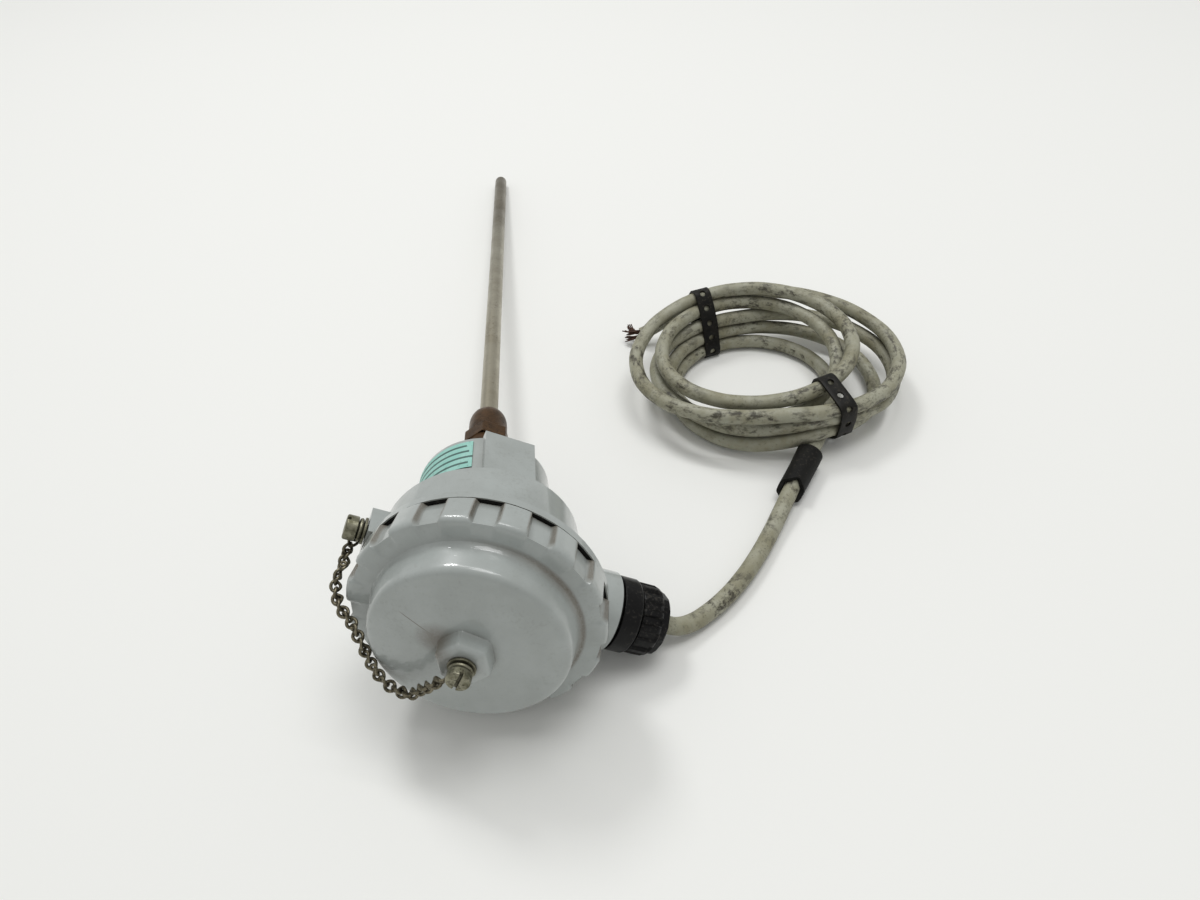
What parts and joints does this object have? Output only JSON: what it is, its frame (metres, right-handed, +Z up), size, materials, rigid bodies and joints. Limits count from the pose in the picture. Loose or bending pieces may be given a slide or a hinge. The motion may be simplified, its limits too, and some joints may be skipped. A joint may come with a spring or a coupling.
{
  "type": "connection head thermocouple",
  "caption": "Straight sheathed thermocouple probe with a moulded connection head, an inclined screw cap on a retaining chain, a side cable gland and a coiled lead.",
  "frame": {"origin": "on the resting surface, under the centre of the box round the head and the probe without its lead", "axes": "+Z up, +Y from the head towards the tip of the probe, +X towards the cable gland and the coiled lead"},
  "size_m": [0.2532, 0.4498, 0.087],
  "materials": {
    "head_plastic": "satin grey moulding, lightly scuffed",
    "black_plastic": "dusty moulded black",
    "black_rubber": "dull",
    "tarnished_brass": "dark brown tarnish",
    "brass": "machined",
    "stainless": "heat stained",
    "aged_nickel": "tarnished plating",
    "ceramic": "unglazed",
    "label_film": "worn printed film",
    "cable_jacket": "scuffed and stained",
    "red_insulation": "plain",
    "white_insulation": "plain",
    "wire_alloy": "oxidised"
  },
  "bodies": {
    "head": {"head_body": "head_plastic", "cap_gasket": "black_rubber", "neck_label": "label_film", "lug_screw": "aged_nickel", "lug_washer": "aged_nickel", "lug_chain_ring": "aged_nickel", "retaining_chain": "aged_nickel", "process_fitting": "tarnished_brass", "probe_sheath": "stainless", "ceramic_insulator": "ceramic", "positive_wire": "wire_alloy", "negative_wire": "wire_alloy", "hot_junction": "wire_alloy", "terminal_block": "ceramic", "block_screw_1": "stainless", "block_screw_2": "stainless", "terminal_post_1": "brass", "terminal_post_2": "brass", "gland_gasket": "black_rubber", "gland_body": "black_plastic", "gland_seal": "black_rubber", "cable_in_gland": "cable_jacket", "inner_core_red": "red_insulation", "inner_core_white": "white_insulation", "cable_run": "cable_jacket", "cable_coil": "cable_jacket", "cable_tail": "cable_jacket", "cable_sleeve": "black_rubber", "tie_strap_1": "black_plastic", "tie_strap_2": "black_plastic", "lead_core_1": "wire_alloy", "lead_core_2": "wire_alloy", "lead_core_3": "wire_alloy"},
    "cap_swivel": {"cap_chain_ring": "aged_nickel"},
    "cap": {"screw_cap": "head_plastic", "cap_chain_screw": "aged_nickel", "cap_washer": "aged_nickel"},
    "gland_clamp": {"gland_clamp_ring": "black_plastic"},
    "gland_cap": {"gland_nut": "black_plastic"},
    "olive": {"ferrule": "brass"},
    "fitting_nut": {"compression_nut": "tarnished_brass"},
    "clamp_1": {"clamp_plate_1": "brass", "terminal_screw_1": "brass"},
    "clamp_2": {"clamp_plate_2": "brass", "terminal_screw_2": "brass"}
  },
  "joints": [
    {"name": "cap_travel", "type": "slide", "parent": "head", "child": "cap_swivel", "axis": [-0.172, -0.9732, 0.1525], "range_m": [0, 0.012], "deforming": ["retaining_chain"]},
    {"name": "cap_turn", "type": "hinge", "parent": "cap_swivel", "child": "cap", "pos_m": [-0.00776, -0.18866, 0.04249], "axis": [-0.172, -0.9732, 0.1525], "range_deg": [0, 1080]},
    {"name": "gland_nut_travel", "type": "slide", "parent": "head", "child": "gland_clamp", "axis": [0.8846, -0.0439, -0.4643], "range_m": [0, 0.003]},
    {"name": "gland_nut_turn", "type": "hinge", "parent": "gland_clamp", "child": "gland_cap", "pos_m": [-0.009, -0.18038, 0.04192], "axis": [0.8846, -0.0439, -0.4643], "range_deg": [0, 720]},
    {"name": "fitting_nut_travel", "type": "slide", "parent": "head", "child": "olive", "axis": [0, 0.9956, -0.0941], "range_m": [0, 0.003]},
    {"name": "fitting_nut_turn", "type": "hinge", "parent": "olive", "child": "fitting_nut", "pos_m": [-0.009, -0.08889, 0.03327], "axis": [0, 0.9956, -0.0941], "range_deg": [0, 720]},
    {"name": "clamp_1_travel", "type": "slide", "parent": "head", "child": "clamp_1", "axis": [0, -0.9956, 0.0941], "range_m": [0, 0.0015]},
    {"name": "clamp_2_travel", "type": "slide", "parent": "head", "child": "clamp_2", "axis": [0, -0.9956, 0.0941], "range_m": [0, 0.0015]}
  ],
  "couplings": [
    {"joint": "cap_travel", "follows": "cap_turn", "m_per_rad": 0.00063662},
    {"joint": "gland_nut_travel", "follows": "gland_nut_turn", "m_per_rad": 0.00023873},
    {"joint": "fitting_nut_travel", "follows": "fitting_nut_turn", "m_per_rad": 0.00023873}
  ]
}
